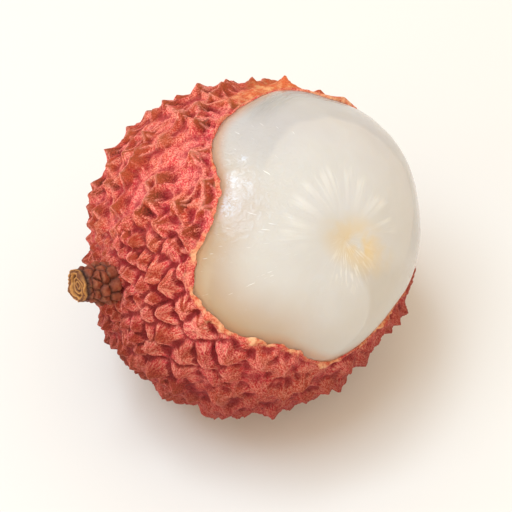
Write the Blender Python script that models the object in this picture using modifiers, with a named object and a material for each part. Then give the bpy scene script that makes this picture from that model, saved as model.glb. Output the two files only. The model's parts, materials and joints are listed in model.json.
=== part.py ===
"""A lychee, half peeled and lying on a table.

The leathery rind is a thin shell covered with pyramid-shaped tubercles. A wide piece of it has been torn away,
and the smooth flesh bulges out of the hole. A short stub of the knobbly fruit stalk is left on the rind.

Metres, +Z up. The origin is on the table, under the middle of the fruit, in the flat spot that it rests on.
The stalk points to -X, and the hole in the rind looks up, to +X and to -Y.
"""

import math

import bmesh
import bpy
from mathutils import Matrix, Vector, noise

# ---------------------------------------------------------------- driving dimensions

VALLEY_RADIUS = 0.0172  # middle of the fruit to the valleys between the tubercles
CENTRE_HEIGHT = 0.0170  # middle of the fruit above the table, less than the radius, so that it has a flat spot
TUBERCLE_HEIGHT = 0.00085
RIND_WALL = 0.0010  # from the valleys to the inside of the rind
FIT_GAP = 0.00035  # between neighbouring pieces

STALK_RADIUS = 0.00165
STALK_LENGTH = 0.0039  # from the rind's outside to the cut end
STALK_SEAT = 0.0005  # how deep the stalk's foot sits in the rind

# Directions from the middle of the fruit.
OPENING_AXIS = Vector((0.462, -0.401, 0.791)).normalized()
NAVEL_AXIS = Vector((0.522, -0.500, 0.691)).normalized()
STALK_AXIS = Vector((-0.835, -0.485, 0.285)).normalized()

# The torn edge: its angle from the opening's axis, in even steps round that axis, starting at its +X side
# and going over the top of the fruit.
RIM_ANGLES = (
    [70, 74, 76, 72, 66, 64, 63, 57, 53, 51, 47, 41]
    + [41, 47, 55, 56, 53, 49, 51, 55, 55, 54, 55, 62]
)

# The fruit isn't quite a ball: broad shoulders stand out from it, each a direction, a height and a width. The last
# one has a negative height, because that side is flatter.
SHOULDERS = [
    (Vector((0.80, 0.43, 0.42)).normalized(), 0.0016, 0.14),
    (Vector((-0.72, 0.53, 0.44)).normalized(), 0.0005, 0.16),
    (Vector((-0.73, -0.52, -0.44)).normalized(), 0.0005, 0.16),
    (Vector((0.75, -0.53, -0.35)).normalized(), -0.0012, 0.10),
]

FLESH_BULGE = 0.0013  # how much further the bare flesh stands out than the flesh under the rind
NAVEL_DEPTH = 0.0006
NAVEL_WIDTH = math.radians(5)

TIP_DIVISIONS = 4  # an icosphere of this many divisions has its corners 2.7 mm apart, one for each tubercle
TIP_WANDER = 0.035  # how far a tip strays from its even place, as a share of the radius
STALK_BARE_ANGLE = math.radians(7)  # there are no tubercles nearer to the stalk than this
STALK_FULL_ANGLE = math.radians(24)  # and they reach their full height here


# ---------------------------------------------------------------- the fruit's form


def smooth_step(low, high, value):
    """0 below low, 1 above high, and a smooth rise in between."""
    share = min(1.0, max(0.0, (value - low) / (high - low)))
    return share * share * (3 - 2 * share)


def axes_about(axis):
    """Two directions square to axis: the first is +X turned square to it, the second completes the frame."""
    first = (Vector((1, 0, 0)) - axis * axis.x).normalized()
    return first, axis.cross(first)


def body_radius(direction):
    """The rind's outside, without its tubercles: a ball with a smooth swelling at each shoulder."""
    radius = VALLEY_RADIUS
    for shoulder, height, width in SHOULDERS:
        radius += height * math.exp((direction.dot(shoulder) - 1) / width)
    return radius


def rim_angle(turn):
    """The torn edge's angle from the opening's axis at a turn round that axis, on a smooth closed curve."""
    count = len(RIM_ANGLES)
    place = (turn / math.tau * count) % count
    step = int(place)
    share = place - step
    before, low, high, after = (RIM_ANGLES[(step + k) % count] for k in (-1, 0, 1, 2))
    slope_low = (high - before) / 2
    slope_high = (after - low) / 2
    cube = 2 * (low - high) + slope_low + slope_high
    square = 3 * (high - low) - 2 * slope_low - slope_high
    return math.radians(((cube * share + square) * share + slope_low) * share + low)


def angle_inside_rim(direction):
    """How far a direction is inside the torn edge, as an angle, and negative under the rind."""
    first, second = axes_about(OPENING_AXIS)
    turn = math.atan2(direction.dot(second), direction.dot(first))
    return rim_angle(turn) - direction.angle(OPENING_AXIS)


def flesh_radius(direction):
    """The flesh fills the rind with a small gap, bulges where it is bare, and dimples at its navel."""
    radius = body_radius(direction) - RIND_WALL - FIT_GAP
    radius += FLESH_BULGE * smooth_step(math.radians(1), math.radians(9), angle_inside_rim(direction))
    radius -= NAVEL_DEPTH * math.exp(-((direction.angle(NAVEL_AXIS) / NAVEL_WIDTH) ** 2))
    return radius


def tubercle_height(direction):
    """Tubercles differ a little in height, and shrink to nothing round the stalk."""
    growth = smooth_step(STALK_BARE_ANGLE, STALK_FULL_ANGLE, direction.angle(STALK_AXIS))
    return TUBERCLE_HEIGHT * growth * (0.85 + 0.3 * noise.noise(direction * 7))


# ---------------------------------------------------------------- making objects


def clear_scene():
    for found in list(bpy.data.objects):
        bpy.data.objects.remove(found)


def make_collection(name):
    made = bpy.data.collections.new(name)
    bpy.context.scene.collection.children.link(made)
    return made


def make_material(name, colour, roughness):
    material = bpy.data.materials.new(name)
    material.use_nodes = True
    shader = material.node_tree.nodes["Principled BSDF"]
    shader.inputs["Base Color"].default_value = (*colour, 1.0)
    shader.inputs["Roughness"].default_value = roughness
    shader.inputs["Metallic"].default_value = 0.0
    return material


def object_from(bm, name, collection, parent, material=None):
    """Puts a bmesh, modelled about the middle of the fruit, into an object that hangs on parent."""
    mesh = bpy.data.meshes.new(name)
    bm.to_mesh(mesh)
    bm.free()
    made = bpy.data.objects.new(name, mesh)
    collection.objects.link(made)
    made.parent = parent
    if material:
        mesh.materials.append(material)
    return made


def make_cutter(bm, name, collection, parent):
    made = object_from(bm, name, collection, parent)
    made.hide_render = True
    made.display_type = "WIRE"
    return made


def add_boolean(target, other, operation):
    modifier = target.modifiers.new(f"{operation.lower()} {other.name}", "BOOLEAN")
    modifier.solver = "EXACT"
    modifier.operation = operation
    modifier.object = other
    return modifier


# ---------------------------------------------------------------- rind


def rind_outside():
    """Each corner of an icosphere becomes the tip of a six-sided pyramid, with valleys at the face middles.

    Poking adds the face middles, and turning the icosphere's own edges then joins each middle to the next.
    """
    bm = bmesh.new()
    bmesh.ops.create_icosphere(bm, subdivisions=TIP_DIVISIONS, radius=1.0)
    tips = set(bm.verts)
    tip_to_tip = bm.edges[:]
    bmesh.ops.poke(bm, faces=bm.faces[:])
    bmesh.ops.rotate_edges(bm, edges=tip_to_tip, use_ccw=False)
    for vertex in bm.verts:
        even = vertex.co.normalized()
        direction = (even + TIP_WANDER * noise.noise_vector(even * 6)).normalized()
        radius = body_radius(direction)
        if vertex in tips:
            radius += tubercle_height(direction)
        vertex.co = direction * radius
    return bm


def cavity():
    """The inside of the rind, as a solid to cut away."""
    bm = bmesh.new()
    bmesh.ops.create_icosphere(bm, subdivisions=4, radius=1.0)
    for vertex in bm.verts:
        direction = vertex.co.normalized()
        vertex.co = direction * (body_radius(direction) - RIND_WALL)
    return bm


def opening_wedge():
    """A cone from the middle of the fruit out through the torn edge, so that the edge is cut square to the rind."""
    sides = 96
    reach = 1.6 * VALLEY_RADIUS
    first, second = axes_about(OPENING_AXIS)
    bm = bmesh.new()
    bmesh.ops.create_cone(
        bm, segments=sides, radius1=1.0, radius2=0.0, depth=1.0, cap_ends=True, cap_tris=False
    )
    rims = [vertex for vertex in bm.verts if vertex.co.z < 0]
    for vertex in bm.verts:
        if vertex not in rims:
            vertex.co = (0, 0, 0)
            continue
        turn = math.atan2(vertex.co.y, vertex.co.x)
        angle = rim_angle(turn)
        outward = first * math.cos(turn) + second * math.sin(turn)
        vertex.co = (OPENING_AXIS * math.cos(angle) + outward * math.sin(angle)) * reach
    # A flat cap would dip into the fruit, so the cap is drawn out to a point above the hole.
    cap = max(bm.faces, key=lambda face: len(face.verts))
    middle = bmesh.ops.poke(bm, faces=[cap])["verts"][0]
    middle.co = OPENING_AXIS * 2 * reach
    bmesh.ops.recalc_face_normals(bm, faces=bm.faces[:])
    return bm


def table_block():
    """Everything below the table top."""
    size = 4 * VALLEY_RADIUS
    bm = bmesh.new()
    bmesh.ops.create_cube(bm, size=size, matrix=Matrix.Translation((0, 0, -CENTRE_HEIGHT - size / 2)))
    return bm


def stalk_seat():
    """The round hole that the stalk's foot stands in."""
    turn = STALK_AXIS.to_track_quat("Z", "Y").to_matrix().to_4x4()
    low = body_radius(STALK_AXIS) - STALK_SEAT
    depth = 4 * STALK_SEAT
    bm = bmesh.new()
    bmesh.ops.create_cone(
        bm,
        segments=32,
        radius1=STALK_RADIUS + FIT_GAP,
        radius2=STALK_RADIUS + FIT_GAP,
        depth=depth,
        cap_ends=True,
        matrix=turn @ Matrix.Translation((0, 0, low + depth / 2)),
    )
    return bm


def build_rind(collection, cutters, fruit):
    material = make_material("rind", (0.55, 0.11, 0.09), 0.62)
    rind = object_from(rind_outside(), "rind", collection, fruit, material)
    for bm, name in (
        (cavity(), "cavity"),
        (opening_wedge(), "opening_wedge"),
        (stalk_seat(), "stalk_seat"),
        (table_block(), "table_block"),
    ):
        add_boolean(rind, make_cutter(bm, name, cutters, fruit), "DIFFERENCE")
    rind.data.shade_flat()


# ---------------------------------------------------------------- flesh


def build_flesh(collection, fruit):
    """The flesh is one smooth ball, with its meridians gathered at the navel."""
    turn = NAVEL_AXIS.to_track_quat("Z", "Y").to_matrix().to_4x4()
    bm = bmesh.new()
    bmesh.ops.create_uvsphere(bm, u_segments=72, v_segments=45, radius=1.0, matrix=turn)
    for vertex in bm.verts:
        direction = vertex.co.normalized()
        vertex.co = direction * flesh_radius(direction)
    flesh = object_from(bm, "flesh", collection, fruit, make_material("flesh", (0.80, 0.76, 0.68), 0.18))
    flesh.data.shade_smooth()


# ---------------------------------------------------------------- stalk


def stalk_profile():
    """Points from the middle of the cut end, over its two growth rings and its rim, and down to the foot."""
    ring = STALK_RADIUS
    top = STALK_LENGTH
    foot = FIT_GAP - STALK_SEAT
    return [
        (0.0, top - 0.00035),
        (0.14 * ring, top - 0.00035),
        (0.22 * ring, top - 0.00010),
        (0.38 * ring, top - 0.00010),
        (0.46 * ring, top - 0.00030),
        (0.56 * ring, top - 0.00030),
        (0.66 * ring, top),
        (0.90 * ring, top - 0.00010),
        (1.00 * ring, top - 0.00040),
        (0.98 * ring, 0.45 * top),
        (0.92 * ring, foot),
        (0.0, foot),
    ]


def turned(profile, name, collection, parent):
    """A profile of radius and height, turned about +Z by a Screw modifier."""
    mesh = bpy.data.meshes.new(name)
    points = [(radius, 0, height) for radius, height in profile]
    mesh.from_pydata(points, [(k, k + 1) for k in range(len(points) - 1)], [])
    made = bpy.data.objects.new(name, mesh)
    collection.objects.link(made)
    made.parent = parent
    screw = made.modifiers.new("turn", "SCREW")
    screw.axis = "Z"
    screw.angle = math.tau
    screw.steps = 28
    screw.render_steps = 28
    screw.use_merge_vertices = True
    screw.merge_threshold = 0.00001
    screw.use_normal_calculate = False
    return made


def knobs():
    """Rings of small knobs round the stalk's neck, each ring set half a knob on from the last."""
    rings = [(0.00095, 0.00060, 11), (0.00195, 0.00054, 10), (0.00285, 0.00044, 10)]
    bm = bmesh.new()
    for row, (height, size, count) in enumerate(rings):
        for k in range(count):
            turn = math.tau * (k + row / 2) / count
            place = Matrix.Rotation(turn, 4, "Z") @ Matrix.Translation((STALK_RADIUS, 0, height))
            shape = Matrix.Diagonal((size, 0.85 * size, size, 1))
            bmesh.ops.create_icosphere(bm, subdivisions=2, radius=1.0, matrix=place @ shape)
    return bm


def build_stalk(collection, cutters, fruit):
    """Modelled upright on its own hanger, which is turned to the stalk's direction."""
    hanger = bpy.data.objects.new("stalk_hanger", None)
    collection.objects.link(hanger)
    hanger.parent = fruit
    hanger.location = STALK_AXIS * body_radius(STALK_AXIS)
    hanger.rotation_euler = STALK_AXIS.to_track_quat("Z", "Y").to_euler()
    stalk = turned(stalk_profile(), "stalk_stub", collection, hanger)
    stalk.data.materials.append(make_material("stalk", (0.30, 0.13, 0.05), 0.7))
    union = add_boolean(stalk, make_cutter(knobs(), "knobs", cutters, hanger), "UNION")
    union.use_self = True  # neighbouring knobs run into each other
    stalk.data.shade_smooth()


# ---------------------------------------------------------------- the whole fruit


def main():
    clear_scene()
    collection = make_collection("lychee")
    cutters = make_collection("cutters")
    fruit = bpy.data.objects.new("fruit_middle", None)
    collection.objects.link(fruit)
    fruit.location = (0, 0, CENTRE_HEIGHT)
    build_rind(collection, cutters, fruit)
    build_flesh(collection, fruit)
    build_stalk(collection, cutters, fruit)


main()
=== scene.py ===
"""The looks of a half-peeled lychee that lies on a pale table.

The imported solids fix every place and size. Each is replaced here by a finely modelled skin, worked out
as whole numpy arrays on a grid of two parameters, and the formula of each shape is given in words in
its function's docstring. Lengths are in metres and angles in radians. A direction is a unit vector from
the middle of the fruit, and the cells of noise on directions are given as angles.
"""

import json
import math

import bpy
import numpy as np
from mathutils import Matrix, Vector


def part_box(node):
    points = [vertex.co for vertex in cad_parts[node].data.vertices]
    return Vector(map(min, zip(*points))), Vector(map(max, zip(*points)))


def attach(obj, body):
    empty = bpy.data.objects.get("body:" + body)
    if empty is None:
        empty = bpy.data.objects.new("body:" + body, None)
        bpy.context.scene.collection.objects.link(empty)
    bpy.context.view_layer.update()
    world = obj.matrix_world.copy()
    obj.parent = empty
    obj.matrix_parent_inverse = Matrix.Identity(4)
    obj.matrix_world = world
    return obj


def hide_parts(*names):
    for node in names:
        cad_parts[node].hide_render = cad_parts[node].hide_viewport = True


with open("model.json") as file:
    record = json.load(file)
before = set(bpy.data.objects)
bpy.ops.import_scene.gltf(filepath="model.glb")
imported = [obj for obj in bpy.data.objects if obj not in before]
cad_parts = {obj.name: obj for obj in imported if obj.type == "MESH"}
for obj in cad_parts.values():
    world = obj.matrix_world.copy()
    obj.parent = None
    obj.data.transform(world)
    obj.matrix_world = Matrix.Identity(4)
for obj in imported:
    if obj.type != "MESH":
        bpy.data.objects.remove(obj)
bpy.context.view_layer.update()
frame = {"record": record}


# ---------------------------------------- flesh
# The aril: one ball of wet, translucent, jelly-like flesh. It fills the rind, and bulges where the rind
# has been torn away. Its fibres gather in a dimple, the navel, which is yellowish, with pleats round it.

MM = 0.001
CENTRE_HEIGHT = 17.0 * MM  # middle of the fruit above the spot that it rests on
VALLEY_RADIUS = 17.2 * MM  # middle of the fruit to the valleys between the rind's tubercles
RIND_WALL = 1.0 * MM
FIT_GAP = 0.35 * MM  # between the rind and the flesh under it
FLESH_BULGE = 1.3 * MM  # the bare flesh stands out by this
NAVEL_DEPTH = 0.45 * MM
NAVEL_WIDTH = math.radians(9)
PLEAT_HEIGHT = 0.03 * MM
PLEAT_ANGLE = math.radians(16)  # from the navel to the middle of the pleats
PLEAT_WIDTH = math.radians(5)
LOBE_MIDDLE = (-0.04, -0.48)  # of the lower lobe, as angles from the navel, to the right and up
LOBE_RADIUS = 0.30
LOBE_STEP = 0.10 * MM  # the ground beside the lobe is lower by this
FILM_AXIS = (0.576, -0.287, 0.766)  # through the middle of the ground that the clinging film has left
FILM_EDGE = 0.845  # the film's edge, as the cosine of the angle from that axis
FILM_SIDE = (0.5, 0.6, 0.6)  # the side where the film still clings
FILM_THICKNESS = 0.06 * MM
SWELL_HEIGHT = 0.16 * MM  # of the bare flesh's soft unevenness
RIPPLE_HEIGHT = 0.035 * MM  # of the finer unevenness on it

rest_point = np.array(frame["record"]["mounts"][0]["pos_m"])
fruit_middle = rest_point + (0, 0, CENTRE_HEIGHT)


def unit(vectors):
    """Each vector divided by its own length."""
    vectors = np.asarray(vectors, float)
    return vectors / np.linalg.norm(vectors, axis=-1, keepdims=True)


def axes_about(axis):
    """Three directions square to each other, as rows: +X turned square to the axis, the one that
    completes them, and the axis."""
    axis = unit(axis)
    first = unit(np.array([1.0, 0, 0]) - axis[0] * axis)
    return np.array([first, np.cross(axis, first), axis])


def directions_about(axes, polar, turn):
    """The direction at a polar angle from the third axis, turned about it from the first axis towards
    the second."""
    around = np.cos(turn)[..., None] * axes[0] + np.sin(turn)[..., None] * axes[1]
    return np.cos(polar)[..., None] * axes[2] + np.sin(polar)[..., None] * around


def smooth_step(low, high, values):
    """0 below low, 1 above high, and 3s² - 2s³ in between, s being the share of the way."""
    share = np.clip((values - low) / (high - low), 0, 1)
    return share * share * (3 - 2 * share)


def on_side(directions, side, low, high):
    """1 on that side of the fruit and 0 away from it: a smooth step of the cosine of the angle to it."""
    return smooth_step(low, high, directions @ unit(side))


opening_axes = axes_about((0.462, -0.401, 0.791))
navel_axes = axes_about((0.522, -0.500, 0.691))

# Broad shoulders of the fruit: direction, height, and how sharply each falls away.
SHOULDERS = [
    ((0.80, 0.43, 0.42), 1.6 * MM, 0.14),
    ((-0.72, 0.53, 0.44), 0.5 * MM, 0.16),
    ((-0.73, -0.52, -0.44), 0.5 * MM, 0.16),
    ((0.75, -0.53, -0.35), -1.2 * MM, 0.10),
]

# The torn edge of the rind: its angle from the opening's axis in degrees, in even steps round that
# axis, starting at its +X side and going over the top of the fruit.
RIM_DEGREES = np.array(
    [70, 74, 76, 72, 66, 64, 63, 57, 53, 51, 47, 41]
    + [41, 47, 55, 56, 53, 49, 51, 55, 55, 54, 55, 62]
)


def body_radius(directions):
    """The fruit's radius without tubercles: a ball that swells by h·e^((d·s - 1) / w) at each shoulder."""
    radius = np.full(directions.shape[:-1], VALLEY_RADIUS)
    for shoulder, height, width in SHOULDERS:
        radius += height * np.exp((directions @ unit(shoulder) - 1) / width)
    return radius


def rim_angle(turn):
    """The torn edge's polar angle at a turn: a closed Catmull-Rom curve through RIM_DEGREES."""
    count = len(RIM_DEGREES)
    place = (turn / math.tau * count) % count
    step = place.astype(int)
    share = place - step
    before, low, high, after = (RIM_DEGREES[(step + k) % count] for k in (-1, 0, 1, 2))
    slope_low, slope_high = (high - before) / 2, (after - low) / 2
    cube = 2 * (low - high) + slope_low + slope_high
    square = 3 * (high - low) - 2 * slope_low - slope_high
    return np.radians(((cube * share + square) * share + slope_low) * share + low)


def angle_inside_rim(directions):
    """How far a direction is inside the torn edge, as an angle: negative under the rind."""
    across = directions @ opening_axes.T
    turn = np.arctan2(across[..., 1], across[..., 0])
    return rim_angle(turn) - np.arccos(np.clip(across[..., 2], -1, 1))


def lattice_noise(points, cell, seed):
    """Smooth noise of about -1 to 1 (Perlin's): each corner of a cubic lattice of that cell size holds
    a random slope, and the eight slopes round a point are blended by 6t⁵ - 15t⁴ + 10t³ along each side."""
    place = points / cell + 31.7 * seed
    corner = np.floor(place).astype(np.int64)
    share = place - corner
    ease = share**3 * (share * (6 * share - 15) + 10)
    total = np.zeros(points.shape[:-1])
    for step in np.ndindex(2, 2, 2):
        step = np.array(step)
        here = (corner + step).astype(np.uint32)
        mixed = here[..., 0] * np.uint32(73856093) ^ here[..., 1] * np.uint32(19349663)
        mixed = mixed ^ here[..., 2] * np.uint32(83492791)
        slope = []
        for _ in range(3):
            mixed = (mixed ^ (mixed >> np.uint32(15))) * np.uint32(2246822519)
            mixed = (mixed ^ (mixed >> np.uint32(13))) * np.uint32(3266489917)
            slope.append(mixed / 2147483647.5 - 1)
        rise = sum(slope[k] * (share[..., k] - step[k]) for k in range(3))
        total += rise * np.prod(np.where(step, ease, 1 - ease), axis=-1)
    return 1.6 * total


def layered_noise(points, cell, seed, layers):
    """Layers of noise added up, each of half the cell and half the height of the one before."""
    return sum(lattice_noise(points, cell / 2**k, seed + k) / 2**k for k in range(layers))


def closed_skin(name, rings, start, end, values):
    """A closed, smooth-shaded object: rings of points, each joined to the next, and fans that join the
    first ring to the point start and the last to the point end. Values are kept with the mesh under
    their names, one number or vector for each point, in the same order."""
    ring_count, columns = rings.shape[:2]
    points = np.concatenate([rings.reshape(-1, 3), [start, end]])
    number = np.arange(ring_count * columns).reshape(ring_count, columns)
    after = np.roll(number, -1, axis=1)
    quads = np.stack([number[:-1], number[1:], after[1:], after[:-1]], axis=-1).reshape(-1, 4)
    first = np.stack([np.full(columns, len(points) - 2), number[0], after[0]], axis=-1)
    last = np.stack([np.full(columns, len(points) - 1), after[-1], number[-1]], axis=-1)
    corners = np.concatenate([quads.ravel(), first.ravel(), last.ravel()])
    sides = np.repeat([4, 3], [len(quads), 2 * columns])
    mesh = bpy.data.meshes.new(name)
    mesh.vertices.add(len(points))
    mesh.vertices.foreach_set("co", points.astype(np.float32).ravel())
    mesh.loops.add(len(corners))
    mesh.loops.foreach_set("vertex_index", corners.astype(np.int32))
    mesh.polygons.add(len(sides))
    mesh.polygons.foreach_set("loop_start", (np.cumsum(sides) - sides).astype(np.int32))
    mesh.update(calc_edges=True)
    mesh.shade_smooth()
    for key, value in values.items():
        kind, field = ("FLOAT", "value") if value.ndim == 1 else ("FLOAT_VECTOR", "vector")
        layer = mesh.attributes.new(key, kind, "POINT")
        layer.data.foreach_set(field, value.astype(np.float32).ravel())
    made = bpy.data.objects.new(name, mesh)
    bpy.context.scene.collection.objects.link(made)
    return made


def colour(hex_code):
    """An sRGB hex colour as linear red, green, blue and full alpha."""
    parts = [int(hex_code[k : k + 2], 16) / 255 for k in (1, 3, 5)]
    return [p / 12.92 if p <= 0.04045 else ((p + 0.055) / 1.055) ** 2.4 for p in parts] + [1.0]


def add_node(material, kind, inputs, output=None, **settings):
    """Adds a shader node, sets its settings and its inputs (values or other nodes' outputs, by name or
    by number), and returns the output of that name, or its first one."""
    tree = material.node_tree
    made = tree.nodes.new("ShaderNode" + kind)
    for name, value in settings.items():
        setattr(made, name, value)
    for key, value in inputs.items():
        fitting = (found for k, found in enumerate(made.inputs) if found.enabled and key in (k, found.name))
        socket = next(fitting)
        if isinstance(value, bpy.types.NodeSocket):
            tree.links.new(value, socket)
        else:
            socket.default_value = value
    results = [found for found in made.outputs if found.enabled]
    return next((found for found in results if found.name == output), results[0] if results else None)


def new_material(name):
    """An empty node material."""
    made = bpy.data.materials.new(name)
    made.use_nodes = True
    made.node_tree.nodes.clear()
    return made


def skin_material(name, values):
    """An empty node material, the place that it shades in Object coordinates, and a skin's values by name."""
    made = new_material(name)
    found = {}
    for key, value in values.items():
        output = "Vector" if value.ndim == 2 else "Fac"
        found[key] = add_node(made, "Attribute", {}, output, attribute_name=key)
    return made, add_node(made, "TexCoord", {}, "Object"), found


def painted(material, base, coats):
    """Coats laid over a base colour, one after the other: the last colour, and each coat's share by name.

    A coat is its colour (hex, or a node's output), how it is laid on, and ramps. A ramp is a value, its two
    ends, and the shares at them, and goes evenly between. A coat's share is the product of its ramps."""
    shares = {}
    for name, (tint, blend, *ramps) in coats.items():
        share = 1.0
        for value, low, high, at_low, at_high in ramps:
            ends = {"From Min": low, "From Max": high, "To Min": at_low, "To Max": at_high}
            ramp = add_node(material, "MapRange", {"Value": value, **ends})
            share = add_node(material, "Math", {0: share, 1: ramp}, operation="MULTIPLY")
        laid = {"Factor": share, "A": base, "B": colour(tint) if isinstance(tint, str) else tint}
        base = add_node(material, "Mix", laid, data_type="RGBA", blend_type=blend)
        shares[name] = share
    return base, shares


def around_navel(directions):
    """Each direction's polar angle from the navel, and the way round it that it turns to, as a vector."""
    across = directions @ navel_axes.T
    polar = np.arccos(np.clip(across[..., 2], -1, 1))
    return polar, across[..., :2] / np.maximum(np.sin(polar), 1e-6)[..., None]


def beside_lobe(polar, way_round):
    """1 to the lower right of the lower lobe, a circle on the flattened ground round the navel, else 0."""
    flat = way_round * polar[:, None]
    from_edge = np.linalg.norm(flat - LOBE_MIDDLE, axis=1) - LOBE_RADIUS
    lower_right = smooth_step(0.0, 0.15, flat[:, 0]) * smooth_step(-0.08, -0.22, flat[:, 1])
    return smooth_step(-0.02, 0.03, from_edge) * lower_right


def film_cover(directions):
    """1 where a film still clings to the flesh: outside a wavy circle, on the film's side. 0 elsewhere."""
    closeness = directions @ unit(FILM_AXIS) + 0.012 * layered_noise(directions, 0.25, 8, 2)
    outside = smooth_step(FILM_EDGE + 0.008, FILM_EDGE - 0.008, closeness)
    return outside * on_side(directions, FILM_SIDE, 0.35, 0.60)


def flesh_radius(directions):
    """Body radius, less the rind and the gap, plus the bulge where it is bare. The navel is a dimple
    e^(-(angle/w)²) with pleats round it. The ground beside the lower lobe is lower, the film stands
    proud, and bare flesh is softly uneven."""
    inside = angle_inside_rim(directions)
    polar, way_round = around_navel(directions)
    bare = smooth_step(math.radians(-1), math.radians(9), inside)
    radius = body_radius(directions) - RIND_WALL - FIT_GAP
    radius += FLESH_BULGE * smooth_step(math.radians(-9), math.radians(4), inside)
    radius -= NAVEL_DEPTH * np.exp(-((polar / NAVEL_WIDTH) ** 2))
    radius -= LOBE_STEP * beside_lobe(polar, way_round) * smooth_step(1.1, 0.6, polar)
    pleat_window = np.exp(-(((polar - PLEAT_ANGLE) / PLEAT_WIDTH) ** 2))
    pleat = lattice_noise(np.concatenate([3.2 * way_round, polar[..., None]], axis=-1), 0.33, 5)
    radius += PLEAT_HEIGHT * pleat_window * pleat
    radius += FILM_THICKNESS * film_cover(directions)
    radius += SWELL_HEIGHT * bare * layered_noise(directions, 0.5, 11, 2)
    radius += RIPPLE_HEIGHT * bare * layered_noise(directions, 0.12, 17, 3)
    return radius


# Painted glints: places on the crinkled surface where white highlight patches are painted on, as direction,
# and how sharply each falls off.
PAINTED_GLINT_PLACES = [
    ((-0.11, -0.30, 0.95), 0.0011),
    ((-0.035, -0.31, 0.95), 0.0003),
    ((-0.13, -0.44, 0.89), 0.0018),
    ((-0.035, -0.38, 0.925), 0.0006),
    ((-0.06, -0.17, 0.985), 0.0005),
]
FLESH_ROWS = 170  # from the navel to the point opposite
FLESH_COLUMNS = 320
FLESH_CROWDING = 1.15  # a row's angle from the navel grows with this power of its number
GLINT_STREAK_SHARE = 0.55  # how far the painted glint streaks cover the ground

flesh_share = np.arange(1, FLESH_ROWS) / FLESH_ROWS
flesh_polar = np.repeat((math.pi * flesh_share**FLESH_CROWDING)[:, None], FLESH_COLUMNS, axis=1)
flesh_turn = np.repeat((math.tau * np.arange(FLESH_COLUMNS) / FLESH_COLUMNS)[None, :], FLESH_ROWS - 1, axis=0)
flesh_directions = directions_about(navel_axes, flesh_polar, flesh_turn).reshape(-1, 3)
flesh_directions = np.concatenate([flesh_directions, navel_axes[2:], -navel_axes[2:]])
flesh_points = fruit_middle + flesh_directions * flesh_radius(flesh_directions)[:, None]
flesh_rings = flesh_points[:-2].reshape(FLESH_ROWS - 1, FLESH_COLUMNS, 3)
flesh_rim = angle_inside_rim(flesh_directions) * VALLEY_RADIUS / MM  # millimetres inside the torn edge
navel_angle, navel_way = around_navel(flesh_directions)

# What the look reads. Fan: the way round the navel and the angle from it. Flat: the ground round the
# navel laid flat. The others are shares, 1 where that mark is full.
flesh_values = {
    "rim": flesh_rim,
    "fan": np.concatenate([navel_way, navel_angle[:, None]], axis=1),
    "flat": np.concatenate([navel_way * navel_angle[:, None], 0 * navel_angle[:, None]], axis=1),
    "beside_lobe": beside_lobe(navel_angle, navel_way),
    "seen_through": on_side(flesh_directions, (-0.55, -0.75, 0.35), 0.35, 0.95),
    "crinkled": on_side(flesh_directions, (-0.12, -0.30, 0.95), 0.80, 0.97),
    "streaked": on_side(flesh_directions, (-0.13, -0.56, 0.82), 0.90, 0.97)
    + on_side(flesh_directions, (0.06, -0.05, 1.0), 0.95, 0.99),
    # where the painted highlight spots lie
    "glisten": sum(np.exp((flesh_directions @ unit(spot) - 1) / width) for spot, width in PAINTED_GLINT_PLACES),
    "film": film_cover(flesh_directions),
    "creased": on_side(flesh_directions, (0.26, 0.38, 0.89), 0.90, 0.98) * smooth_step(5.0, 2.0, flesh_rim),
}
flesh = closed_skin("lychee_flesh", flesh_rings, flesh_points[-2], flesh_points[-1], flesh_values)

# Wet jelly: light goes some millimetres in and comes out soft and milky, and the wet top mirrors the
# softboxes as sharp glints. More glints, glint streaks and shade by the torn edge are painted on.
flesh_look, place, on_flesh = skin_material("lychee aril, wet", flesh_values)
from_navel = add_node(flesh_look, "SeparateXYZ", {"Vector": on_flesh["fan"]}, "Z")
above_navel = add_node(flesh_look, "SeparateXYZ", {"Vector": on_flesh["fan"]}, "Y")

# Noise drawn out along the navel's spokes: its lumps to a radian round the navel, and to one out from it.
spoke_noise = {}
for name, lumps_round, lumps_out in [
    ("petals", 7.5, 1.5),
    ("petal ends", 7.5, 0.0),
    ("streaks", 50.0, 9.0),
    ("flakes", 14.0, 12.0),
]:
    drawn_out = {"Vector": on_flesh["fan"], "Scale": (lumps_round, lumps_round, lumps_out)}
    drawn_out = add_node(flesh_look, "Mapping", drawn_out)
    spoke_noise[name] = add_node(flesh_look, "TexNoise", {"Vector": drawn_out, "Scale": 1.0, "Detail": 2.0})

# Noise on the whole: its lumps to a millimetre, detail and distortion.
flesh_noise = {}
for name, lumps_to_mm, detail, distortion in [
    ("clouds", 0.15, 3.0, 0.0),
    ("navel", 0.36, 3.0, 0.6),
    ("wrinkles", 1.5, 3.0, 1.2),
    ("veins", 2.6, 3.0, 1.5),
    ("patches", 0.8, 2.0, 0.0),
    ("swells", 0.52, 1.0, 0.5),
]:
    noise = {"Vector": place, "Scale": lumps_to_mm / MM, "Detail": detail, "Distortion": distortion}
    flesh_noise[name] = add_node(flesh_look, "TexNoise", noise)

# The petals end at uneven angles from the navel, and the painted glint spots are patchy.
petal_reach = {0: spoke_noise["petal ends"], 1: 0.16, 2: from_navel}
petal_reach = add_node(flesh_look, "Math", petal_reach, operation="MULTIPLY_ADD")
glistening = {0: flesh_noise["patches"], 1: 1.2, 2: on_flesh["glisten"]}
glistening = add_node(flesh_look, "Math", glistening, operation="MULTIPLY_ADD")

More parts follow.
